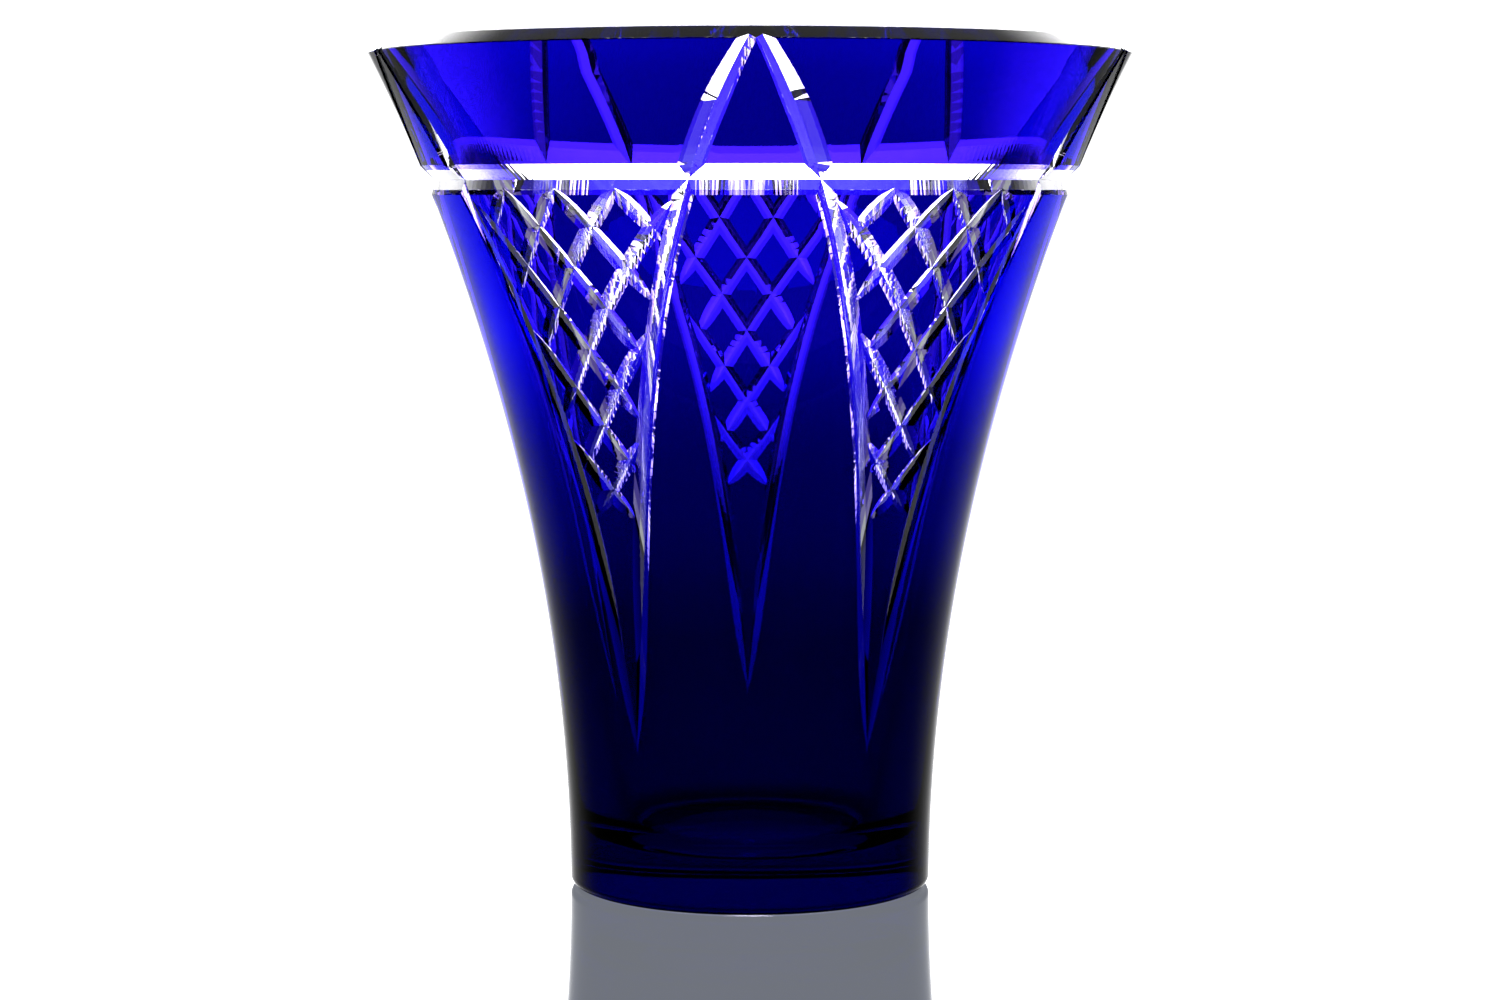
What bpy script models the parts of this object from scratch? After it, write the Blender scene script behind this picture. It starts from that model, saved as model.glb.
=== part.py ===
"""Overlay crystal vase: a clear body under a blue casing that mitre cuts divide into islands.

The body is a heavy flared vessel. A thin casing of blue glass lies over its outside. A ring cut runs
round it below the rim, ten curved cuts draw five pointed arches, and crossing cuts fill the fields
between the arches with diamonds. The front of the vase faces -Y and is the middle of one arch.
"""
import math

import bmesh
import bpy
from mathutils import Vector

# Driving dimensions, in metres and degrees
HEIGHT = 0.250
CORNER_HEIGHT = 0.2464           # outer corner of the rim, where its chamfer starts
FOOT_RADIUS = 0.0538
FLARE = 0.0568                   # how much wider than the foot the rim's corner is
FLARE_POWER = 1.96
LIP = 0.0014                     # how much more the band above the ring flares, at the rim's corner
LIP_ABOVE = 0.195
FOOT_ROUNDING = 0.0030
RIM_FLAT = 0.0014
CASING = 0.0010
GAP = 0.0003                     # left between the casing and the body
WALL = 0.0108                    # measured level, at mid height
RIM_THINNING = 0.0042            # how much thinner the wall is at the rim
THIN_ABOVE = 0.195               # height where it starts to thin
FOOT_THICKENING = 0.0100         # how much thicker the wall would be at height 0
THICK_BELOW = 0.100
FLOOR_HEIGHT = 0.0132
FLOOR_ROUNDING = 0.0140
FLOOR_ARC_END = -11.3            # degrees, where that rounding meets the lean of the inside wall

ARCHES = 5
ARCH_PITCH = 360.0 / ARCHES
ARCH_TIP_HEIGHT = 0.0489         # where neighbouring arches' cuts cross
ARCH_BULGE = (0.38, 0.32)        # how an arch's sides bow out, in the height and its square
ARCH_DEPTH = 0.0024
ARCH_TIP_DEPTH = 0.00115         # just through the casing
ARCH_RIM_EASE = 0.9              # how fast the cuts get shallower above the ring
ARCH_SLOPE_INSIDE = (0.5, 1.1)   # half width over depth on the arch's side, at the tip and at the ring
ARCH_SLOPE_OUTSIDE = (0.6, 1.6)  # the same on the field's side
ARCH_RUN_OUT = 0.0022            # how far the cuts run on past their crossing at the low tip
ARCH_STAGGER = 0.0008            # a right cut runs on by this much more, and a left one by less
ARCH_SECTIONS = 12
CUT_TOP = HEIGHT + 0.0060        # the arches' cuts come in from above the rim
RING_HEIGHT = 0.2096
RING_DEPTH = 0.0025
RING_LOWER_FACE = 0.0042         # height of its steep lower face
LATTICE_TOP = 0.2067             # height of the first row of crossings
LATTICE_PITCH = 0.01021          # row spacing
LATTICE_SAG = 0.000045           # how much the middle rows hang below even spacing
LATTICE_ROWS = 9
LATTICE_STEP = 6.0               # degrees that a cut moves sideways in one row
LATTICE_CUTS = 6                 # cuts in each of a field's two crossing families
LATTICE_FIRST = -4               # where the first of them meets row 0, in cut spacings
LATTICE_MARGIN = 1.6             # degrees kept between a cut's end and the arch's cut beside it
LATTICE_TAPER = 0.6              # rows over which a cut runs out at each end
LATTICE_END_DEPTH = 0.00005
LATTICE_DEPTH = 0.0005           # leaves the pads of a field joined by the casing under the cuts
LATTICE_SLOPE = 4.4              # half width of a cut over its depth
LIFT = 0.0030                    # how far the deep cutters stand proud of the surface
LATTICE_LIFT = 0.0010

STEPS = 60                       # sides of the turned shapes
WALL_ROWS = 8
FLOOR_ARC_STEPS = 4
FOOT_ARC_STEPS = 2
FOOT_CASING_TURN = 75            # degrees that the casing follows the foot's rounding
ROW_SEARCH = 20                  # tries per row when looking for a lattice cut's ends
SHARP_ANGLE = 20
GLASS_IOR = 1.54
WALL_TOP = CORNER_HEIGHT - 0.0020
MERGE = 0.00001
SLIVER_VOLUME = 1.0e-9           # chips of casing under 1 cubic mm don't survive the cutting


def outer_radius(z):
    """Radius of the uncut outside at height z."""
    lip = LIP * (max(z - LIP_ABOVE, 0.0) / (CORNER_HEIGHT - LIP_ABOVE)) ** 2
    return FOOT_RADIUS + FLARE * (max(z, 0.0) / CORNER_HEIGHT) ** FLARE_POWER + lip


def outer_slope(z):
    """Change of the outside radius with height."""
    lip = 2 * LIP * max(z - LIP_ABOVE, 0.0) / (CORNER_HEIGHT - LIP_ABOVE) ** 2
    return FLARE * FLARE_POWER / CORNER_HEIGHT * (max(z, 0.0) / CORNER_HEIGHT) ** (FLARE_POWER - 1) + lip


def inner_radius(z):
    """Radius of the inside at height z: the wall is thinner near the rim and heavy near the foot."""
    near_rim = max(z - THIN_ABOVE, 0.0) / (HEIGHT - THIN_ABOVE)
    near_foot = max(1 - z / THICK_BELOW, 0.0)
    return outer_radius(z) - WALL + RIM_THINNING * near_rim ** 2 - FOOT_THICKENING * near_foot ** 2


def outward(angle):
    """Level direction away from the axis, at an angle in degrees from the front."""
    turn = math.radians(angle)
    return Vector((math.sin(turn), -math.cos(turn), 0.0))


def surface_point(angle, z):
    return outward(angle) * outer_radius(z) + Vector((0.0, 0.0, z))


def surface_normal(angle, z):
    return (outward(angle) - Vector((0.0, 0.0, outer_slope(z)))).normalized()


# Profiles

def arc(center, radius, start, end, count):
    """Points of an arc in the profile plane, angles in degrees."""
    points = []
    for i in range(count + 1):
        turn = math.radians(start + (end - start) * i / count)
        points.append((center[0] + radius * math.cos(turn), center[1] + radius * math.sin(turn)))
    return points


def wall_line(depth):
    """Profile points of the outside, sunk by depth, from the rim's corner down to the foot's rounding."""
    points = []
    for i in range(WALL_ROWS + 1):
        z = WALL_TOP + (FOOT_ROUNDING - WALL_TOP) * i / WALL_ROWS
        slope = outer_slope(z)
        length = math.hypot(1.0, slope)
        points.append((outer_radius(z) - depth / length, z + depth * slope / length))
    return points


def chamfer_point(depth):
    """Where the layer that lies depth under the outside meets the rim's chamfer."""
    slope = outer_slope(CORNER_HEIGHT)
    run = depth * math.hypot(1.0, slope) / (1.0 + slope)
    return (outer_radius(CORNER_HEIGHT) - run, CORNER_HEIGHT + run)


def body_profile():
    """The clear body: from the middle of its floor up the inside, over the rim and down to the foot."""
    depth = CASING + GAP
    rim_outer = outer_radius(CORNER_HEIGHT) - (HEIGHT - CORNER_HEIGHT)
    arc_end = math.radians(FLOOR_ARC_END)
    wall_foot = FLOOR_HEIGHT + FLOOR_ROUNDING * (1 + math.sin(arc_end))
    floor_edge = inner_radius(wall_foot) - FLOOR_ROUNDING * math.cos(arc_end)
    round_center = (floor_edge, FLOOR_HEIGHT + FLOOR_ROUNDING)
    points = [(0.0, FLOOR_HEIGHT)]
    points += arc(round_center, FLOOR_ROUNDING, -90, FLOOR_ARC_END, FLOOR_ARC_STEPS)
    for i in range(1, WALL_ROWS):
        z = wall_foot + (HEIGHT - wall_foot) * i / WALL_ROWS
        points.append((inner_radius(z), z))
    points += [(rim_outer - RIM_FLAT, HEIGHT), (rim_outer, HEIGHT)]
    points.append(chamfer_point(depth))
    points += wall_line(depth)
    foot_center = (FOOT_RADIUS - FOOT_ROUNDING, FOOT_ROUNDING)
    points += arc(foot_center, FOOT_ROUNDING - depth, 0, -90, FOOT_ARC_STEPS)[1:]
    points += [(foot_center[0] - 2 * GAP, depth), (foot_center[0] - 2 * GAP, 0.0), (0.0, 0.0)]
    return points


def casing_profile():
    """The blue casing: down its outside and back up its inside."""
    foot_center = (FOOT_RADIUS - FOOT_ROUNDING, FOOT_ROUNDING)
    points = [chamfer_point(0.0)]
    points += wall_line(0.0)
    points += arc(foot_center, FOOT_ROUNDING, 0, -FOOT_CASING_TURN, FOOT_ARC_STEPS)[1:]
    points += arc(foot_center, FOOT_ROUNDING - CASING, -FOOT_CASING_TURN, 0, FOOT_ARC_STEPS)[:-1]
    points += reversed(wall_line(CASING))
    points.append(chamfer_point(CASING))
    return points


def ring_profile():
    """The ring cut's section: a steep lower face and a sloping upper face, both carried on outside."""
    slope = outer_slope(RING_HEIGHT)
    bottom = (outer_radius(RING_HEIGHT) - RING_DEPTH, RING_HEIGHT)
    lip_z = RING_HEIGHT - RING_LOWER_FACE
    lip = (outer_radius(lip_z), lip_z)
    lower = (lip[0] + (lip[0] - bottom[0]) / 2, lip[1] + (lip[1] - bottom[1]) / 2)
    rise = RING_DEPTH / (1 - slope) + LIFT
    upper = (bottom[0] + rise, bottom[1] + rise)
    return [upper, lower, bottom]


# Cuts

def arch_angle(z):
    """Half the width of an arch, in degrees, at height z."""
    t = (z - ARCH_TIP_HEIGHT) / (HEIGHT - ARCH_TIP_HEIGHT)
    return ARCH_PITCH / 2 * (1 - t) * (1 + ARCH_BULGE[0] * t + ARCH_BULGE[1] * t * t)


def arch_depth(z):
    """Depth of an arch's cut: shallow at the low tip, and a little shallower again at the rim."""
    t = (z - ARCH_TIP_HEIGHT) / (RING_HEIGHT - ARCH_TIP_HEIGHT)
    if t <= 0:
        return ARCH_TIP_DEPTH
    if t < 1:
        return ARCH_TIP_DEPTH + (ARCH_DEPTH - ARCH_TIP_DEPTH) * t
    return ARCH_DEPTH * (1 - ARCH_RIM_EASE * (t - 1))


def row_height(row):
    """Height of a row of the lattice's crossings; rows count down from the ring."""
    return LATTICE_TOP - LATTICE_PITCH * row - LATTICE_SAG * row * row * (LATTICE_ROWS - row)


def row_offset(row, start):
    """Sideways place of a lattice cut at a row, in degrees from its field's middle."""
    return start + LATTICE_STEP * row


def lattice_span(start):
    """First and last row of a lattice cut: it keeps inside the arches' cuts beside its field."""
    overrun = ROW_SEARCH // 3
    inside = []
    for i in range(-overrun, ROW_SEARCH * LATTICE_ROWS + overrun):
        row = i / ROW_SEARCH
        field_edge = ARCH_PITCH / 2 - arch_angle(row_height(row)) - LATTICE_MARGIN
        if abs(row_offset(row, start)) <= field_edge:
            inside.append(row)
    return inside[0], inside[-1]


def loft_cutter(name, sections, cutters):
    """A closed cutter through triangular sections."""
    bm = bmesh.new()
    rings = [[bm.verts.new(point) for point in section] for section in sections]
    for ring_a, ring_b in zip(rings, rings[1:]):
        for i in range(3):
            j = (i + 1) % 3
            bm.faces.new((ring_a[i], ring_a[j], ring_b[j], ring_b[i]))
    bm.faces.new(rings[0])
    bm.faces.new(rings[-1])
    bmesh.ops.triangulate(bm, faces=bm.faces)
    bmesh.ops.recalc_face_normals(bm, faces=bm.faces)
    mesh = bpy.data.meshes.new(name)
    bm.to_mesh(mesh)
    bm.free()
    add_cutter(name, mesh, cutters)


def add_cutter(name, mesh, cutters):
    cutter = bpy.data.objects.new(name, mesh)
    cutter.hide_render = True
    cutter.display_type = 'WIRE'
    cutters.objects.link(cutter)
    return cutter


def cut_section(angle, z, direction, depth, lift, slopes):
    """Triangle across a cut. The slopes are half widths over depth, on its left and on its right."""
    normal = surface_normal(angle, z)
    across = normal.cross(direction).normalized()
    if across.dot(outward(angle + 90)) < 0:
        across.negate()
    point = surface_point(angle, z)
    top = point + normal * lift
    left = top - across * (depth + lift) * slopes[0]
    right = top + across * (depth + lift) * slopes[1]
    return [point - normal * depth, right, left]


def cut_sections(places, depths, lift, slopes):
    """Sections along a cut through places, each an angle and a height."""
    points = [surface_point(angle, z) for angle, z in places]
    sections = []
    for i, (angle, z) in enumerate(places):
        direction = points[min(i + 1, len(points) - 1)] - points[max(i - 1, 0)]
        sections.append(cut_section(angle, z, direction, depths[i], lift, slopes[i]))
    return sections


def between(ends, share):
    return ends[0] + (ends[1] - ends[0]) * share


def add_arch_cutters(cutters):
    """Two curved cuts for each arch, from above the rim down past the low tips."""
    for arch in range(ARCHES):
        for side in (1, -1):
            bottom = ARCH_TIP_HEIGHT - ARCH_RUN_OUT - ARCH_STAGGER * side
            drop = (bottom - CUT_TOP) / ARCH_SECTIONS
            heights = [CUT_TOP + drop * i for i in range(ARCH_SECTIONS + 1)]
            places = []
            slopes = []
            for z in heights:
                places.append((arch * ARCH_PITCH + side * arch_angle(z), z))
                widening = min(max((z - ARCH_TIP_HEIGHT) / (RING_HEIGHT - ARCH_TIP_HEIGHT), 0.0), 1.0)
                inside = between(ARCH_SLOPE_INSIDE, widening)
                outside = between(ARCH_SLOPE_OUTSIDE, widening)
                slopes.append((inside, outside)[::side])
            depths = [arch_depth(z) for z in heights]
            side_name = "right" if side > 0 else "left"
            sections = cut_sections(places, depths, LIFT, slopes)
            loft_cutter(f"arch_cut_{arch + 1}_{side_name}", sections, cutters)


def add_lattice_cutters(cutters):
    """Crossing straight cuts in each field; each family is the other's mirror image."""
    for field in range(ARCHES):
        middle = (field + 0.5) * ARCH_PITCH
        for cut in range(LATTICE_CUTS):
            start = (cut + LATTICE_FIRST) * 2 * LATTICE_STEP
            first, last = lattice_span(start)
            full_depth_rows = last - first - 2 * LATTICE_TAPER
            spans = max(1, round(full_depth_rows))
            rows = [first + LATTICE_TAPER + full_depth_rows * i / spans for i in range(spans + 1)]
            rows = [first] + rows + [last]
            depths = [LATTICE_END_DEPTH] + [LATTICE_DEPTH] * (spans + 1) + [LATTICE_END_DEPTH]
            slopes = [(LATTICE_SLOPE, LATTICE_SLOPE)] * len(rows)
            for side in (1, -1):
                places = [(middle + side * row_offset(row, start), row_height(row)) for row in rows]
                sections = cut_sections(places, depths, LATTICE_LIFT, slopes)
                side_name = "right" if side > 0 else "left"
                loft_cutter(f"lattice_cut_{field + 1}_{cut + 1}_{side_name}", sections, cutters)


# Objects

def make_material(name, color, roughness):
    material = bpy.data.materials.new(name)
    material.use_nodes = True
    shader = material.node_tree.nodes["Principled BSDF"]
    shader.inputs["Base Color"].default_value = (*color, 1.0)
    shader.inputs["Roughness"].default_value = roughness
    shader.inputs["Metallic"].default_value = 0.0
    shader.inputs["Transmission Weight"].default_value = 1.0
    shader.inputs["IOR"].default_value = GLASS_IOR
    material.diffuse_color = (*color, 1.0)
    return material


def turned(name, profile, closed, collection):
    """An object turned about Z from a profile."""
    mesh = bpy.data.meshes.new(name)
    edges = [(i, i + 1) for i in range(len(profile) - 1)]
    if closed:
        edges.append((len(profile) - 1, 0))
    mesh.from_pydata([(r, 0.0, z) for r, z in profile], edges, [])
    made = bpy.data.objects.new(name, mesh)
    made.rotation_euler.z = math.pi / STEPS    # keeps the sides' edges off the cuts' crossings
    collection.objects.link(made)
    screw = made.modifiers.new("Turn", 'SCREW')
    screw.steps = STEPS
    screw.render_steps = STEPS
    screw.use_merge_vertices = True
    screw.merge_threshold = MERGE
    return made


def cut_by(made, cutters):
    boolean = made.modifiers.new("Cuts", 'BOOLEAN')
    boolean.operation = 'DIFFERENCE'
    boolean.solver = 'EXACT'
    boolean.operand_type = 'COLLECTION'
    boolean.collection = cutters


def evaluated_mesh(made):
    """The finished mesh of an object, in world space."""
    bpy.context.view_layer.update()
    depsgraph = bpy.context.evaluated_depsgraph_get()
    mesh = bpy.data.meshes.new_from_object(made.evaluated_get(depsgraph))
    mesh.transform(made.matrix_world)
    return mesh


def loose_islands(bm):
    """Lists of faces, one for each separate body in the mesh."""
    seen = set()
    islands = []
    for face in bm.faces:
        if face in seen:
            continue
        seen.add(face)
        stack = [face]
        island = []
        while stack:
            current = stack.pop()
            island.append(current)
            for edge in current.edges:
                for neighbour in edge.link_faces:
                    if neighbour not in seen:
                        seen.add(neighbour)
                        stack.append(neighbour)
        islands.append(island)
    return islands


def island_volume(island):
    volume = 0.0
    for face in island:
        corners = [vert.co for vert in face.verts]
        for b, c in zip(corners[1:], corners[2:]):
            volume += corners[0].dot(b.cross(c)) / 6.0
    return volume


def island_name(island):
    """Which piece of the casing an island belongs to, from where it lies."""
    verts = {vert for face in island for vert in face.verts}
    lowest = min(vert.co.z for vert in verts)
    if lowest < ARCH_TIP_HEIGHT / 2:
        return "base_casing"
    x = sum(vert.co.x for vert in verts)
    y = sum(vert.co.y for vert in verts)
    angle = math.degrees(math.atan2(x, -y)) % 360.0
    arch = round(angle / ARCH_PITCH) % ARCHES + 1
    field = int(angle // ARCH_PITCH) + 1
    if lowest < RING_HEIGHT:
        return f"diamond_field_{field}"
    off_arch = abs((angle + ARCH_PITCH / 2) % ARCH_PITCH - ARCH_PITCH / 2)
    if off_arch < ARCH_PITCH / 4:
        return f"arch_tip_{arch}"
    return f"rim_panel_{field}"


def split_casing(casing, material, collection):
    """Makes one object of each piece that the cuts leave of the casing."""
    cut = evaluated_mesh(casing)
    bm = bmesh.new()
    bm.from_mesh(cut)
    groups = {}
    for island in loose_islands(bm):
        if island_volume(island) > SLIVER_VOLUME:
            groups.setdefault(island_name(island), []).extend(island)
    for name in sorted(groups):
        piece = bmesh.new()
        copies = {}
        for face in groups[name]:
            for vert in face.verts:
                if vert not in copies:
                    copies[vert] = piece.verts.new(vert.co)
            piece.faces.new([copies[vert] for vert in face.verts])
        mesh = bpy.data.meshes.new(name)
        piece.to_mesh(mesh)
        piece.free()
        add_finished(name, mesh, material, collection)
    bm.free()
    bpy.data.meshes.remove(cut)
    bpy.data.objects.remove(casing)


def add_finished(name, mesh, material, collection):
    mesh.materials.clear()
    mesh.materials.append(material.copy())
    mesh.shade_smooth()
    mesh.set_sharp_from_angle(angle=math.radians(SHARP_ANGLE))
    made = bpy.data.objects.new(name, mesh)
    collection.objects.link(made)
    return made


def main():
    for old in list(bpy.data.objects):
        bpy.data.objects.remove(old)
    vase = bpy.data.collections.new("cut_crystal_vase")
    cutters = bpy.data.collections.new("cutters")
    deep_cutters = bpy.data.collections.new("deep_cutters")
    bpy.context.scene.collection.children.link(vase)
    bpy.context.scene.collection.children.link(cutters)
    bpy.context.scene.collection.children.link(deep_cutters)

    ring = turned("ring_cut", ring_profile(), True, cutters)
    ring.hide_render = True
    ring.display_type = 'WIRE'
    add_arch_cutters(cutters)
    for cutter in cutters.objects:
        deep_cutters.objects.link(cutter)
    add_lattice_cutters(cutters)

    clear = make_material("clear_crystal", (0.97, 0.98, 0.98), 0.02)
    blue = make_material("blue_casing", (0.01, 0.01, 0.45), 0.03)

    body = turned("crystal_body", body_profile(), False, vase)
    cut_by(body, deep_cutters)    # the lattice cuts stay within the casing
    add_finished("crystal_body_cut", evaluated_mesh(body), clear, vase)
    bpy.data.objects.remove(body)
    bpy.data.objects["crystal_body_cut"].name = "crystal_body"

    casing = turned("casing_blank", casing_profile(), True, vase)
    cut_by(casing, cutters)
    split_casing(casing, blue, vase)


main()
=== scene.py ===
import math

import bmesh
import bpy
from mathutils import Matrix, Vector


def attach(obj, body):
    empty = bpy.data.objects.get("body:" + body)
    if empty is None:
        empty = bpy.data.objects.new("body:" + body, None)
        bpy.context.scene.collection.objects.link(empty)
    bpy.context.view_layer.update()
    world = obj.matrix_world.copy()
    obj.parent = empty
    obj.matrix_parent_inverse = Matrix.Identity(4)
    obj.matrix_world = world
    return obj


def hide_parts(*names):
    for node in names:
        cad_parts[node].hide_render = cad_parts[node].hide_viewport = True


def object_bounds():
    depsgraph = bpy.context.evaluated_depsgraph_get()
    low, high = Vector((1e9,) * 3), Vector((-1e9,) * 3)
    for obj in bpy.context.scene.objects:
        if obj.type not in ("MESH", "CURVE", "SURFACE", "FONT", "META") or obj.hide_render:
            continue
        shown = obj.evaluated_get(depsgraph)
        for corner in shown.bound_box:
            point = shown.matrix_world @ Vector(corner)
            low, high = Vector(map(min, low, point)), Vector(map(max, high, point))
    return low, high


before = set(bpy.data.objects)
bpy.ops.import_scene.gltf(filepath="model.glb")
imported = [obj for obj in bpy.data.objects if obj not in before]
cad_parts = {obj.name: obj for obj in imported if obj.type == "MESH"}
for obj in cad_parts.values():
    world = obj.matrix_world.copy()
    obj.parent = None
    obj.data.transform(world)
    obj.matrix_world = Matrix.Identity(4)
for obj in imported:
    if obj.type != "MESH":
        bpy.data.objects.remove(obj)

CAD_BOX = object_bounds()

# The vase's own dimensions, in metres and degrees; the outside is the CAD's, the cuts are finer
LOWEST, HIGHEST = CAD_BOX[0], CAD_BOX[1]
HEIGHT = HIGHEST[2]
RIM_CHAMFER = 0.0036
CORNER_HEIGHT = HEIGHT - RIM_CHAMFER
FOOT_RADIUS = 0.0538
FLARE = 0.0568
FLARE_POWER = 1.96
LIP = 0.0014                     # how much more the band above the ring flares, at the rim's corner
LIP_ABOVE = 0.195
FOOT_ROUNDING = 0.0030
RIM_FLAT = 0.0014
WALL = 0.0108                    # taken level, in the middle of the height
RIM_THINNING = 0.0042            # how much thinner the wall is at the rim
THIN_ABOVE = 0.195
FOOT_THICKENING = 0.0100         # how much thicker it would be at height 0
THICK_BELOW = 0.100
FLOOR_HEIGHT = 0.0132
FLOOR_ROUNDING = 0.0140
FLOOR_ARC_END = -11.3            # where the rounding meets the lean of the inside wall
RIM_CASING = 0.00045             # thickness of the blue casing at the rim
FOOT_CASING = 0.00145
SEAM = 0.00002                   # kept between the casing and the body under it
RIM_ROUNDING = 0.0007            # of the rim's inner edge
CHAMFER_ROUNDING = 0.0003        # of the rim's outer edge

ARCHES = 5
ARCH_PITCH = 360.0 / ARCHES
ARCH_TIP_HEIGHT = 0.0489
ARCH_BULGE = (0.38, 0.32)        # how an arch's side bows out from straight
ARCH_DEPTH = 0.0022
ARCH_LOW_END = 0.0660            # where an arch's deep cut runs out
ARCH_RUN_OUT = 0.0500            # over this height
TIP_OVERRUN = 0.0036             # how far past an arch's tip its bevels go
TIP_STAGGER = 0.0004             # and how much further on one side than on the other, halved
RIM_CUT_DEPTH = 0.0025
RIM_CUT_FADE = (0.228, 0.250)    # heights between which the cuts get shallower towards the rim
RIM_CUT_SHARE = 0.64             # share of the depth left at the rim
CROSSOVER = (0.006, 0.010)       # where below the ring the change to the rim's cuts starts, and its length
CUT_SLOPES_BELOW = (1.00, 1.30)  # half widths over depth of a deep cut, on the arch's side and the field's
CUT_SLOPES_ABOVE = (1.30, 1.65)
BEVEL_DEPTH = 0.0008             # a shallow bevel beside each deep cut goes on down to the tip
BEVEL_RUN_OUT = 0.0300
BEVEL_SLOPES = (3.6, 0.9)        # half widths over depth, on the arch's side and on the field's side
RING_HEIGHT = 0.2096
RING_DEPTH = 0.0025
RING_LOWER_FACE = 0.0042
LATTICE_TOP = 0.2067
LATTICE_PITCH = 0.01021
LATTICE_SAG = 0.000045
LATTICE_ROWS = 9
LATTICE_STEP = 6.0
LATTICE_DEPTH = 0.0018
LATTICE_SLOPE = 1.4
LATTICE_CUTS = 6                 # cuts in each of a field's two crossing families
LATTICE_FIRST = -4               # where the first of them meets row 0, in cut spacings
LATTICE_MARGIN = 1.0             # degrees kept between a cut's end and the arch's cut beside it
LATTICE_RUN_OUT = 0.9            # rows over which a cut runs out at each end
LATTICE_EASE = 0.00002           # lifts a cut so that its ends come clear of the glass
ROW_STEP = 0.05                  # steps in which a cut's ends are looked for
STEPS_ABOVE, STEPS_BELOW = 7, 9  # how far past the first and last row they are looked for
LIFT = 0.0030                    # how far the cutters stand out of the glass

STEPS = 240
WALL_ROWS = 46
GLASS_IOR = 1.54
SHARP_ANGLE = 14
WELD = 2e-6                      # points nearer than this are one
SLIVER_FACES = 6                 # crumbs of casing of at most this many faces are left out

BACKDROP_LOW = 1.8               # brightness of the overexposed white backdrop beyond the vase, at eye level
BACKDROP_HIGH = 7.0              # and higher up, which the polished floor mirrors below the vase
REAR_LEVEL = 1.2                 # brightness of the one on the opposite side
ROOM_LEVEL = 0.4                 # and of the rest of the room
BACKDROP_RISE = (0.06, 0.18)     # sines of the elevations between which it brightens
BACKDROP_TOP = (0.75, 0.45)      # and between which it ends at the top
BACKDROP_EDGE = 0.30             # cosines of the angles where the backdrops end and are full
BACKDROP_CORE = 0.80
SURFACE_SHARE = 0.9              # share of the casing's tint on its outer face; the seam has the rest
CUT_SHARE = 0.05                 # the same for the cut faces, where the casing thins out to nothing
GLOSS_POWER = 3.0                # makes the blue glass reflect less than real glass does


# Shape of the uncut vase

def outer_radius(z):
    lip = LIP * (max(z - LIP_ABOVE, 0.0) / (CORNER_HEIGHT - LIP_ABOVE)) ** 2
    return FOOT_RADIUS + FLARE * (max(z, 0.0) / CORNER_HEIGHT) ** FLARE_POWER + lip


def outer_slope(z):
    lip = 2 * LIP * max(z - LIP_ABOVE, 0.0) / (CORNER_HEIGHT - LIP_ABOVE) ** 2
    return FLARE * FLARE_POWER / CORNER_HEIGHT * (max(z, 0.0) / CORNER_HEIGHT) ** (FLARE_POWER - 1) + lip


def inner_radius(z):
    near_rim = max(z - THIN_ABOVE, 0.0) / (HEIGHT - THIN_ABOVE)
    near_foot = max(1 - z / THICK_BELOW, 0.0)
    return outer_radius(z) - WALL + RIM_THINNING * near_rim ** 2 - FOOT_THICKENING * near_foot ** 2


def casing_thickness(z):
    return FOOT_CASING + (RIM_CASING - FOOT_CASING) * (z / HEIGHT) ** 2


def outward(angle):
    turn = math.radians(angle)
    return Vector((math.sin(turn), -math.cos(turn), 0.0))


def surface_point(angle, z):
    return outward(angle) * outer_radius(z) + Vector((0.0, 0.0, z))


def surface_normal(angle, z):
    return (outward(angle) - Vector((0.0, 0.0, outer_slope(z)))).normalized()


def arc(center, radius, start, end, count):
    points = []
    for i in range(count + 1):
        turn = math.radians(start + (end - start) * i / count)
        points.append((center[0] + radius * math.cos(turn), center[1] + radius * math.sin(turn)))
    return points


def wall_line(layers, gap):
    """The outside sunk by casing thickness times layers and a gap, from the rim to the foot."""
    top = CORNER_HEIGHT - 0.0010
    points = []
    for i in range(WALL_ROWS + 1):
        z = top + (FOOT_ROUNDING - top) * i / WALL_ROWS
        depth = casing_thickness(z) * layers + gap
        slope = outer_slope(z)
        length = math.hypot(1.0, slope)
        points.append((outer_radius(z) - depth / length, z + depth * slope / length))
    return points


def chamfer_point(depth):
    slope = outer_slope(CORNER_HEIGHT)
    run = depth * math.hypot(1.0, slope) / (1.0 + slope)
    return (outer_radius(CORNER_HEIGHT) - run, CORNER_HEIGHT + run)


# Profiles: lists of (radius, height, material index of the band that follows)

def tagged(points, index):
    return [(r, z, index) for r, z in points]


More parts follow.
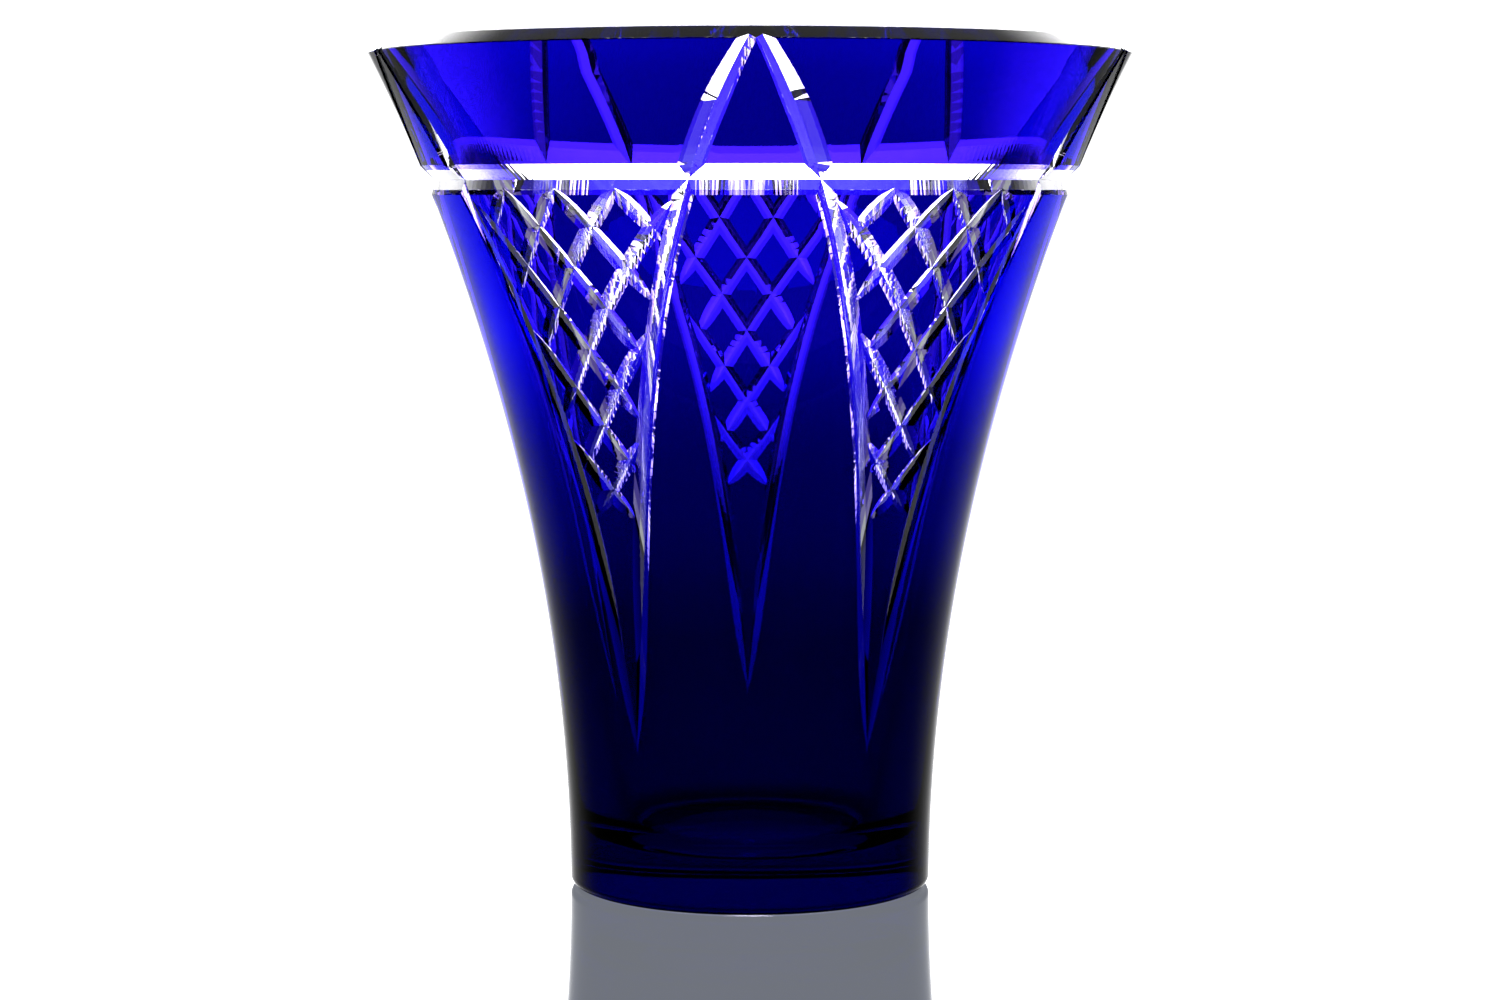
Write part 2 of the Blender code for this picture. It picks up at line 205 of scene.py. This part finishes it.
def core_profile():
    """The clear body; index 1 marks the faces that the casing covers."""
    rim_outer = outer_radius(CORNER_HEIGHT) - RIM_CHAMFER
    arc_end = math.radians(FLOOR_ARC_END)
    wall_foot = FLOOR_HEIGHT + FLOOR_ROUNDING * (1 + math.sin(arc_end))
    floor_edge = inner_radius(wall_foot) - FLOOR_ROUNDING * math.cos(arc_end)
    points = tagged([(0.0, FLOOR_HEIGHT), (floor_edge * 0.5, FLOOR_HEIGHT)], 0)
    round_center = (floor_edge, FLOOR_HEIGHT + FLOOR_ROUNDING)
    points += tagged(arc(round_center, FLOOR_ROUNDING, -90, FLOOR_ARC_END, 16), 0)
    for i in range(1, WALL_ROWS):
        z = wall_foot + (HEIGHT - 0.0008 - wall_foot) * i / WALL_ROWS
        points.append((inner_radius(z), z, 0))
    inner_center = (rim_outer - RIM_FLAT + RIM_ROUNDING, HEIGHT - RIM_ROUNDING)
    points += tagged(arc(inner_center, RIM_ROUNDING, 180, 90, 5), 0)
    outer_center = (rim_outer - CHAMFER_ROUNDING, HEIGHT - CHAMFER_ROUNDING)
    points += tagged(arc(outer_center, CHAMFER_ROUNDING, 90, 45, 2), 0)
    points.append((*chamfer_point(casing_thickness(CORNER_HEIGHT) + SEAM), 1))
    points += tagged(wall_line(1, SEAM), 1)
    foot_center = (FOOT_RADIUS - FOOT_ROUNDING, FOOT_ROUNDING)
    points += tagged(arc(foot_center, FOOT_ROUNDING - FOOT_CASING - SEAM, 0, -88, 8)[1:], 1)
    end_r = foot_center[0] - 0.0001
    points += [(end_r, FOOT_CASING + SEAM, 0), (end_r, 0.0, 0), (end_r * 0.5, 0.0, 0), (0.0, 0.0, 0)]
    return points


def casing_profile():
    """The blue casing; index 1 marks its face on the body."""
    foot_center = (FOOT_RADIUS - FOOT_ROUNDING, FOOT_ROUNDING)
    points = [(*chamfer_point(0.0), 0)]
    points += tagged(wall_line(0, 0.0), 0)
    points += tagged(arc(foot_center, FOOT_ROUNDING, 0, -88, 10)[1:], 0)
    points += tagged(arc(foot_center, FOOT_ROUNDING - FOOT_CASING, -88, 0, 8)[:-1], 1)
    points += tagged(list(reversed(wall_line(1, 0.0))), 1)
    points.append((*chamfer_point(casing_thickness(CORNER_HEIGHT)), 0))
    return points


def ring_profile():
    slope = outer_slope(RING_HEIGHT)
    bottom = (outer_radius(RING_HEIGHT) - RING_DEPTH, RING_HEIGHT)
    lip_z = RING_HEIGHT - RING_LOWER_FACE
    lip = (outer_radius(lip_z), lip_z)
    lower = (lip[0] + (lip[0] - bottom[0]) / 2, lip[1] + (lip[1] - bottom[1]) / 2)
    rise = RING_DEPTH / (1 - slope) + LIFT
    upper = (bottom[0] + rise, bottom[1] + rise)
    return tagged([upper, lower, bottom], 2)


def turned_mesh(name, profile, closed, steps, twist=0.0):
    """A mesh turned about Z from a profile; points on the axis are shared."""
    bm = bmesh.new()
    columns = []
    axis_verts = {}
    for s in range(steps):
        turn = 2 * math.pi * (s + twist) / steps
        column = []
        for k, (r, z, _) in enumerate(profile):
            if r == 0.0:
                if k not in axis_verts:
                    axis_verts[k] = bm.verts.new((0.0, 0.0, z))
                column.append(axis_verts[k])
            else:
                column.append(bm.verts.new((r * math.cos(turn), r * math.sin(turn), z)))
        columns.append(column)
    bands = len(profile) if closed else len(profile) - 1
    for s in range(steps):
        a = columns[s]
        b = columns[(s + 1) % steps]
        for k in range(bands):
            m = (k + 1) % len(profile)
            corners = [a[k], a[m], b[m], b[k]]
            unique = [v for i, v in enumerate(corners) if v not in corners[:i]]
            face = bm.faces.new(unique)
            face.material_index = profile[k][2]
    bmesh.ops.recalc_face_normals(bm, faces=bm.faces)
    mesh = bpy.data.meshes.new(name)
    bm.to_mesh(mesh)
    bm.free()
    return mesh


# Cuts

def arch_angle(z):
    t = (z - ARCH_TIP_HEIGHT) / (HEIGHT - ARCH_TIP_HEIGHT)
    return ARCH_PITCH / 2 * (1 - t) * (1 + ARCH_BULGE[0] * t + ARCH_BULGE[1] * t * t)


def blend(a, b, t):
    t = min(max(t, 0.0), 1.0)
    return a + (b - a) * t * t * (3 - 2 * t)


def above_ring(z):
    """0 below the ring cut and 1 above it."""
    return (z - RING_HEIGHT + CROSSOVER[0]) / CROSSOVER[1]


def arch_depth(z):
    """Depth of an arch's deep cut: it runs out above the low tip and is shallower again at the rim."""
    body_depth = ARCH_DEPTH * run_out(z - ARCH_LOW_END, ARCH_RUN_OUT)
    faded = (z - RIM_CUT_FADE[0]) / (RIM_CUT_FADE[1] - RIM_CUT_FADE[0])
    rim_depth = blend(1.0, RIM_CUT_SHARE, faded) * RIM_CUT_DEPTH
    return blend(body_depth, rim_depth, above_ring(z))


def bevel_depth(z):
    return BEVEL_DEPTH * run_out(z - ARCH_TIP_HEIGHT + 0.003, BEVEL_RUN_OUT)


def row_height(row):
    return LATTICE_TOP - LATTICE_PITCH * row - LATTICE_SAG * row * row * (LATTICE_ROWS - row)


def lattice_span(start):
    """First and last row of a lattice cut: it keeps inside the arches' cuts beside its field."""
    inside = []
    for i in range(-STEPS_ABOVE, round(LATTICE_ROWS / ROW_STEP) + STEPS_BELOW):
        row = i * ROW_STEP
        edge = ARCH_PITCH / 2 - arch_angle(row_height(row)) - LATTICE_MARGIN
        if abs(start + LATTICE_STEP * row) <= edge:
            inside.append(row)
    return inside[0], inside[-1]


def run_out(distance, length):
    """Share of the full depth at a distance from a cut's end, and under nothing past it."""
    if distance >= length:
        return 1.0
    if distance < 0:
        return 0.5 * distance / length
    return 1.0 - (1.0 - distance / length) ** 2


def cut_sections(places, depths, slopes):
    points = [surface_point(angle, z) for angle, z in places]
    sections = []
    for i, (angle, z) in enumerate(places):
        direction = points[min(i + 1, len(points) - 1)] - points[max(i - 1, 0)]
        normal = surface_normal(angle, z)
        across = normal.cross(direction).normalized()
        if across.dot(outward(angle + 90)) < 0:
            across.negate()
        top = points[i] + normal * LIFT
        reach = depths[i] + LIFT
        sections.append([points[i] - normal * depths[i],
                         top + across * reach * slopes[i][1],
                         top - across * reach * slopes[i][0]])
    return sections


def cutter_mesh(name, sections):
    bm = bmesh.new()
    rings = [[bm.verts.new(point) for point in section] for section in sections]
    for ring_a, ring_b in zip(rings, rings[1:]):
        for i in range(3):
            j = (i + 1) % 3
            bm.faces.new((ring_a[i], ring_a[j], ring_b[j], ring_b[i]))
    bm.faces.new(rings[0])
    bm.faces.new(rings[-1])
    bmesh.ops.triangulate(bm, faces=bm.faces)
    bmesh.ops.recalc_face_normals(bm, faces=bm.faces)
    for face in bm.faces:
        face.material_index = 2
    mesh = bpy.data.meshes.new(name)
    bm.to_mesh(mesh)
    bm.free()
    return mesh


def arch_cutters():
    """A deep cut down each side of each arch, and the bevel beside it."""
    made = []
    for arch in range(ARCHES):
        for side in (1, -1):
            tip_end = ARCH_TIP_HEIGHT - TIP_OVERRUN - TIP_STAGGER * side
            for top, bottom, count, depth_at, bevel in (
                    (HEIGHT + 0.006, ARCH_LOW_END - 0.001, 80, arch_depth, False),
                    (RING_HEIGHT - 0.001, tip_end, 70, bevel_depth, True)):
                heights = [top + (bottom - top) * i / count for i in range(count + 1)]
                places = [(arch * ARCH_PITCH + side * arch_angle(z), z) for z in heights]
                depths = [depth_at(z) for z in heights]
                slopes = [(BEVEL_SLOPES if bevel else arch_slopes(z))[::side] for z in heights]
                made.append(cutter_mesh("arch_cut", cut_sections(places, depths, slopes)))
    return made


def arch_slopes(z):
    pairs = zip(CUT_SLOPES_BELOW, CUT_SLOPES_ABOVE)
    return tuple(blend(below, above, above_ring(z)) for below, above in pairs)


def lattice_cutters():
    made = []
    for field in range(ARCHES):
        middle = (field + 0.5) * ARCH_PITCH
        for number in range(LATTICE_CUTS):
            start = (number + LATTICE_FIRST) * 2 * LATTICE_STEP
            first, last = lattice_span(start)
            count = max(8, round((last - first) * 6))
            rows = [first + (last - first) * i / count for i in range(count + 1)]
            shares = [run_out(min(r - first, last - r), LATTICE_RUN_OUT) for r in rows]
            depths = [LATTICE_DEPTH * share - LATTICE_EASE for share in shares]
            slopes = [(LATTICE_SLOPE, LATTICE_SLOPE)] * len(rows)
            for side in (1, -1):
                places = [(middle + side * (start + LATTICE_STEP * r), row_height(r)) for r in rows]
                made.append(cutter_mesh("lattice_cut", cut_sections(places, depths, slopes)))
    return made


def cut(mesh, cutters):
    """The mesh with all the cutters taken out of it."""
    blank = bpy.data.objects.new("blank", mesh)
    bpy.context.scene.collection.objects.link(blank)
    holder = bpy.data.collections.new("cutters")
    bpy.context.scene.collection.children.link(holder)
    tools = []
    for cutter in cutters:
        tool = bpy.data.objects.new("cutter", cutter)
        holder.objects.link(tool)
        tools.append(tool)
    boolean = blank.modifiers.new("Cuts", 'BOOLEAN')
    boolean.operation = 'DIFFERENCE'
    boolean.solver = 'EXACT'
    boolean.operand_type = 'COLLECTION'
    boolean.collection = holder
    boolean.material_mode = 'INDEX'
    bpy.context.view_layer.update()
    depsgraph = bpy.context.evaluated_depsgraph_get()
    result = bpy.data.meshes.new_from_object(blank.evaluated_get(depsgraph))
    for tool in tools:
        bpy.data.objects.remove(tool)
    bpy.data.objects.remove(blank)
    bpy.data.collections.remove(holder)
    return result


def cleaned(bm):
    bmesh.ops.remove_doubles(bm, verts=bm.verts, dist=WELD)
    bmesh.ops.dissolve_degenerate(bm, dist=WELD, edges=bm.edges)


def loose_islands(bm):
    seen = set()
    islands = []
    for face in bm.faces:
        if face in seen:
            continue
        seen.add(face)
        stack = [face]
        island = []
        while stack:
            current = stack.pop()
            island.append(current)
            for edge in current.edges:
                for neighbour in edge.link_faces:
                    if neighbour not in seen:
                        seen.add(neighbour)
                        stack.append(neighbour)
        islands.append(island)
    return islands


def island_name(island):
    """The CAD node that an island of casing stands for."""
    verts = {vert for face in island for vert in face.verts}
    lowest = min(vert.co.z for vert in verts)
    if lowest < ARCH_TIP_HEIGHT / 2:
        return "base_casing"
    x = sum(vert.co.x for vert in verts)
    y = sum(vert.co.y for vert in verts)
    angle = math.degrees(math.atan2(x, -y)) % 360.0
    field = int(angle // ARCH_PITCH) + 1
    if lowest < RING_HEIGHT:
        return f"diamond_field_{field}"
    off_arch = abs((angle + ARCH_PITCH / 2) % ARCH_PITCH - ARCH_PITCH / 2)
    if off_arch < ARCH_PITCH / 4:
        return f"arch_tip_{round(angle / ARCH_PITCH) % ARCHES + 1}"
    return f"rim_panel_{field}"


def finish_piece(name, mesh, materials, node):
    bands = [face.material_index for face in mesh.polygons]
    mesh.materials.clear()
    for material in materials:
        mesh.materials.append(material)
    mesh.shade_smooth()
    mesh.set_sharp_from_angle(angle=math.radians(SHARP_ANGLE))
    for face, band in zip(mesh.polygons, bands):
        face.material_index = band
        face.use_smooth = band < 2
    piece = bpy.data.objects.new(name, mesh)
    bpy.context.scene.collection.objects.link(piece)
    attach(piece, "root")
    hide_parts(node)


def split_casing(mesh, materials):
    bm = bmesh.new()
    bm.from_mesh(mesh)
    cleaned(bm)
    groups = {}
    for island in loose_islands(bm):
        if len(island) > SLIVER_FACES:
            groups.setdefault(island_name(island), []).extend(island)
    for name in sorted(groups):
        piece = bmesh.new()
        copies = {}
        for face in groups[name]:
            for vert in face.verts:
                if vert not in copies:
                    copies[vert] = piece.verts.new(vert.co)
            made = piece.faces.new([copies[vert] for vert in face.verts])
            made.material_index = face.material_index
        part_mesh = bpy.data.meshes.new(name + "_glass")
        piece.to_mesh(part_mesh)
        piece.free()
        finish_piece(name + "_glass", part_mesh, materials, name)
    bm.free()


# Materials

def new_material(name):
    material = bpy.data.materials.new(name)
    material.use_nodes = True
    material.node_tree.nodes.clear()
    return material, material.node_tree.nodes, material.node_tree.links


def covered_seam():
    """Where the body is fused to the casing there is no surface to see."""
    material, nodes, links = new_material("fused_seam")
    out = nodes.new("ShaderNodeOutputMaterial")
    shader = nodes.new("ShaderNodeBsdfTransparent")
    shader.inputs["Color"].default_value = (1.0, 1.0, 1.0, 1.0)
    links.new(shader.outputs[0], out.inputs["Surface"])
    return material


# Share of light that one thickness of casing lets through, by height over the whole height
TINTS = (
    (0.00, (0.0003, 0.0002, 0.085)),
    (0.32, (0.0006, 0.0003, 0.080)),
    (0.42, (0.0015, 0.0006, 0.180)),
    (0.52, (0.0040, 0.0014, 0.240)),
    (0.66, (0.0160, 0.0045, 0.500)),
    (1.00, (0.0200, 0.0050, 0.430)))


def tint_ramp(nodes, links, power):
    """A power of the casing's tint at each height: it is thicker, so deeper, towards the foot."""
    coords = nodes.new("ShaderNodeNewGeometry")
    split = nodes.new("ShaderNodeSeparateXYZ")
    scale = nodes.new("ShaderNodeMapRange")
    scale.inputs["From Min"].default_value = 0.0
    scale.inputs["From Max"].default_value = HEIGHT
    links.new(coords.outputs["Position"], split.inputs[0])
    links.new(split.outputs["Z"], scale.inputs["Value"])
    ramp = nodes.new("ShaderNodeValToRGB")
    elements = ramp.color_ramp.elements
    for place, _ in TINTS[1:-1]:
        elements.new(place)
    for element, (place, color) in zip(elements, TINTS):
        element.position = place
        element.color = (*[c ** power for c in color], 1.0)
    links.new(scale.outputs[0], ramp.inputs[0])
    return ramp.outputs["Color"]


def polish(nodes, links, shaders, scale, strength):
    """The faint unevenness of acid-polished glass, and hazier patches where it has been handled."""
    coords = nodes.new("ShaderNodeTexCoord")
    waves = nodes.new("ShaderNodeTexNoise")
    waves.inputs["Scale"].default_value = scale
    waves.inputs["Detail"].default_value = 2.0
    links.new(coords.outputs["Object"], waves.inputs["Vector"])
    bump = nodes.new("ShaderNodeBump")
    bump.inputs["Strength"].default_value = strength
    bump.inputs["Distance"].default_value = 0.0010
    links.new(waves.outputs["Fac"], bump.inputs["Height"])
    haze = nodes.new("ShaderNodeTexNoise")
    haze.inputs["Scale"].default_value = 34.0
    haze.inputs["Detail"].default_value = 5.0
    links.new(coords.outputs["Object"], haze.inputs["Vector"])
    level = nodes.new("ShaderNodeMapRange")
    level.inputs["From Min"].default_value = 0.52
    level.inputs["From Max"].default_value = 0.80
    level.inputs["To Min"].default_value = 0.0
    level.inputs["To Max"].default_value = 0.05
    links.new(haze.outputs["Fac"], level.inputs["Value"])
    for shader in shaders:
        links.new(bump.outputs["Normal"], shader.inputs["Normal"])
        links.new(level.outputs[0], shader.inputs["Roughness"])


def clear_glass(name, scale, strength):
    material, nodes, links = new_material(name)
    out = nodes.new("ShaderNodeOutputMaterial")
    shader = nodes.new("ShaderNodeBsdfPrincipled")
    shader.inputs["Base Color"].default_value = (0.985, 0.99, 0.985, 1.0)
    shader.inputs["IOR"].default_value = GLASS_IOR
    shader.inputs["Transmission Weight"].default_value = 1.0
    polish(nodes, links, [shader], scale, strength)
    links.new(shader.outputs[0], out.inputs["Surface"])
    return material


def blue_glass(name, share):
    """Blue glass whose surface carries a share of the casing's tint, twice over when it reflects inwards."""
    material, nodes, links = new_material(name)
    out = nodes.new("ShaderNodeOutputMaterial")
    through = nodes.new("ShaderNodeBsdfRefraction")
    through.inputs["IOR"].default_value = GLASS_IOR
    links.new(tint_ramp(nodes, links, share), through.inputs["Color"])
    gloss = nodes.new("ShaderNodeBsdfGlossy")
    side = nodes.new("ShaderNodeNewGeometry")
    reflected = nodes.new("ShaderNodeMixRGB")
    reflected.inputs[1].default_value = (1.0, 1.0, 1.0, 1.0)
    links.new(side.outputs["Backfacing"], reflected.inputs[0])
    links.new(tint_ramp(nodes, links, 2 * share), reflected.inputs[2])
    links.new(reflected.outputs[0], gloss.inputs["Color"])
    polish(nodes, links, [through, gloss], 16.0, 0.02)
    fresnel = nodes.new("ShaderNodeFresnel")
    fresnel.inputs["IOR"].default_value = GLASS_IOR
    mix = nodes.new("ShaderNodeMixShader")
    links.new(math_node(nodes, links, 'POWER', fresnel.outputs[0], GLOSS_POWER), mix.inputs[0])
    links.new(through.outputs[0], mix.inputs[1])
    links.new(gloss.outputs[0], mix.inputs[2])
    links.new(mix.outputs[0], out.inputs["Surface"])
    return material


def blue_seam():
    material, nodes, links = new_material("cobalt_seam")
    out = nodes.new("ShaderNodeOutputMaterial")
    shader = nodes.new("ShaderNodeBsdfTransparent")
    links.new(tint_ramp(nodes, links, 1 - SURFACE_SHARE), shader.inputs["Color"])
    links.new(shader.outputs[0], out.inputs["Surface"])
    return material


# Studio

def add_floor():
    reach = 6.0
    level = LOWEST[2] - 0.0002
    mesh = bpy.data.meshes.new("studio_floor")
    corners = [(-reach, -reach, level), (reach, -reach, level), (reach, reach, level), (-reach, reach, level)]
    mesh.from_pydata(corners, [], [(0, 1, 2, 3)])
    floor = bpy.data.objects.new("studio_floor", mesh)
    bpy.context.scene.collection.objects.link(floor)
    material, nodes, links = new_material("floor_pale_gloss")
    out = nodes.new("ShaderNodeOutputMaterial")
    gloss = nodes.new("ShaderNodeBsdfGlossy")
    gloss.inputs["Color"].default_value = (0.45, 0.45, 0.45, 1.0)
    gloss.inputs["Roughness"].default_value = 0.03
    glow = nodes.new("ShaderNodeEmission")
    glow.inputs["Color"].default_value = (0.80, 0.86, 1.0, 1.0)
    glow.inputs["Strength"].default_value = 0.20
    both = nodes.new("ShaderNodeAddShader")
    links.new(gloss.outputs[0], both.inputs[0])
    links.new(glow.outputs[0], both.inputs[1])
    links.new(both.outputs[0], out.inputs["Surface"])
    mesh.materials.append(material)


def math_node(nodes, links, operation, first, second):
    node = nodes.new("ShaderNodeMath")
    node.operation = operation
    for socket, value in zip(node.inputs, (first, second)):
        if isinstance(value, (int, float)):
            socket.default_value = value
        else:
            links.new(value, socket)
    return node.outputs[0]


def smooth_band(nodes, links, value, dark_at, bright_at):
    band = nodes.new("ShaderNodeMapRange")
    band.interpolation_type = 'SMOOTHSTEP'
    band.inputs["From Min"].default_value = dark_at
    band.inputs["From Max"].default_value = bright_at
    links.new(value, band.inputs["Value"])
    return band.outputs[0]


def set_world():
    """A hot white backdrop beyond the vase and a weaker one opposite; the camera itself sees plain white."""
    world = bpy.data.worlds.new("studio_white")
    bpy.context.scene.world = world
    world.use_nodes = True
    nodes = world.node_tree.nodes
    links = world.node_tree.links
    nodes.clear()
    coords = nodes.new("ShaderNodeTexCoord")
    split = nodes.new("ShaderNodeSeparateXYZ")
    links.new(coords.outputs["Generated"], split.inputs[0])
    x, y, z = split.outputs[0], split.outputs[1], split.outputs[2]
    square = math_node(nodes, links, 'ADD', math_node(nodes, links, 'MULTIPLY', x, x),
                        math_node(nodes, links, 'MULTIPLY', y, y))
    flat_length = math_node(nodes, links, 'SQRT', square, 0.0)
    facing = math_node(nodes, links, 'DIVIDE', y, math_node(nodes, links, 'MAXIMUM', flat_length, 0.0001))
    beyond = smooth_band(nodes, links, facing, BACKDROP_EDGE, BACKDROP_CORE)
    behind = smooth_band(nodes, links, facing, -BACKDROP_EDGE, -BACKDROP_CORE)
    upward = smooth_band(nodes, links, z, *BACKDROP_TOP)
    risen = smooth_band(nodes, links, z, *BACKDROP_RISE)
    brightness = math_node(nodes, links, 'MULTIPLY_ADD', risen, BACKDROP_HIGH - BACKDROP_LOW)
    brightness.node.inputs[2].default_value = BACKDROP_LOW
    panels = math_node(nodes, links, 'ADD', math_node(nodes, links, 'MULTIPLY', beyond, brightness),
                       math_node(nodes, links, 'MULTIPLY', behind, REAR_LEVEL))
    lit = math_node(nodes, links, 'MULTIPLY', panels, upward)
    strength = math_node(nodes, links, 'ADD', lit, ROOM_LEVEL)
    path = nodes.new("ShaderNodeLightPath")
    room = nodes.new("ShaderNodeBackground")
    room.inputs["Color"].default_value = (1.0, 1.0, 1.0, 1.0)
    links.new(strength, room.inputs["Strength"])
    plain = nodes.new("ShaderNodeBackground")
    plain.inputs["Color"].default_value = (1.0, 1.0, 1.0, 1.0)
    plain.inputs["Strength"].default_value = 1.2
    mix = nodes.new("ShaderNodeMixShader")
    links.new(path.outputs["Is Camera Ray"], mix.inputs[0])
    links.new(room.outputs[0], mix.inputs[1])
    links.new(plain.outputs[0], mix.inputs[2])
    out = nodes.new("ShaderNodeOutputWorld")
    links.new(mix.outputs[0], out.inputs["Surface"])


def add_camera():
    data = bpy.data.cameras.new("camera")
    data.lens = 84.0
    data.sensor_width = 36.0
    camera = bpy.data.objects.new("camera", data)
    bpy.context.scene.collection.objects.link(camera)
    distance = 1.0386
    swing = math.radians(-0.8)
    camera.location = (distance * math.sin(swing), -distance * math.cos(swing), 0.2057)
    camera.rotation_euler = (math.radians(90 - 5.0), 0.0, swing)
    bpy.context.scene.camera = camera


def main():
    cutters = [turned_mesh("ring_cut", ring_profile(), True, STEPS, 0.5)]
    cutters += arch_cutters()
    cutters += lattice_cutters()

    core = cut(turned_mesh("core", core_profile(), False, STEPS), cutters)
    casing = cut(turned_mesh("casing", casing_profile(), True, STEPS), cutters)
    bm = bmesh.new()
    bm.from_mesh(core)
    cleaned(bm)
    bm.to_mesh(core)
    bm.free()
    clear = clear_glass("clear_crystal_polished", 16.0, 0.02)
    clear_cut = clear_glass("clear_crystal_cut", 90.0, 0.012)
    clear_materials = [clear, covered_seam(), clear_cut]
    finish_piece("crystal_body_glass", core, clear_materials, "crystal_body")
    blue = blue_glass("cobalt_casing_polished", SURFACE_SHARE)
    blue_cut = blue_glass("cobalt_casing_cut", CUT_SHARE)
    split_casing(casing, [blue, blue_seam(), blue_cut])

    add_floor()
    set_world()
    add_camera()
    scene = bpy.context.scene
    scene.view_settings.view_transform = 'Standard'
    scene.cycles.max_bounces = 32
    scene.cycles.transmission_bounces = 32
    scene.cycles.glossy_bounces = 12
    scene.cycles.transparent_max_bounces = 32
    scene.cycles.caustics_refractive = True
    scene.cycles.caustics_reflective = True


main()
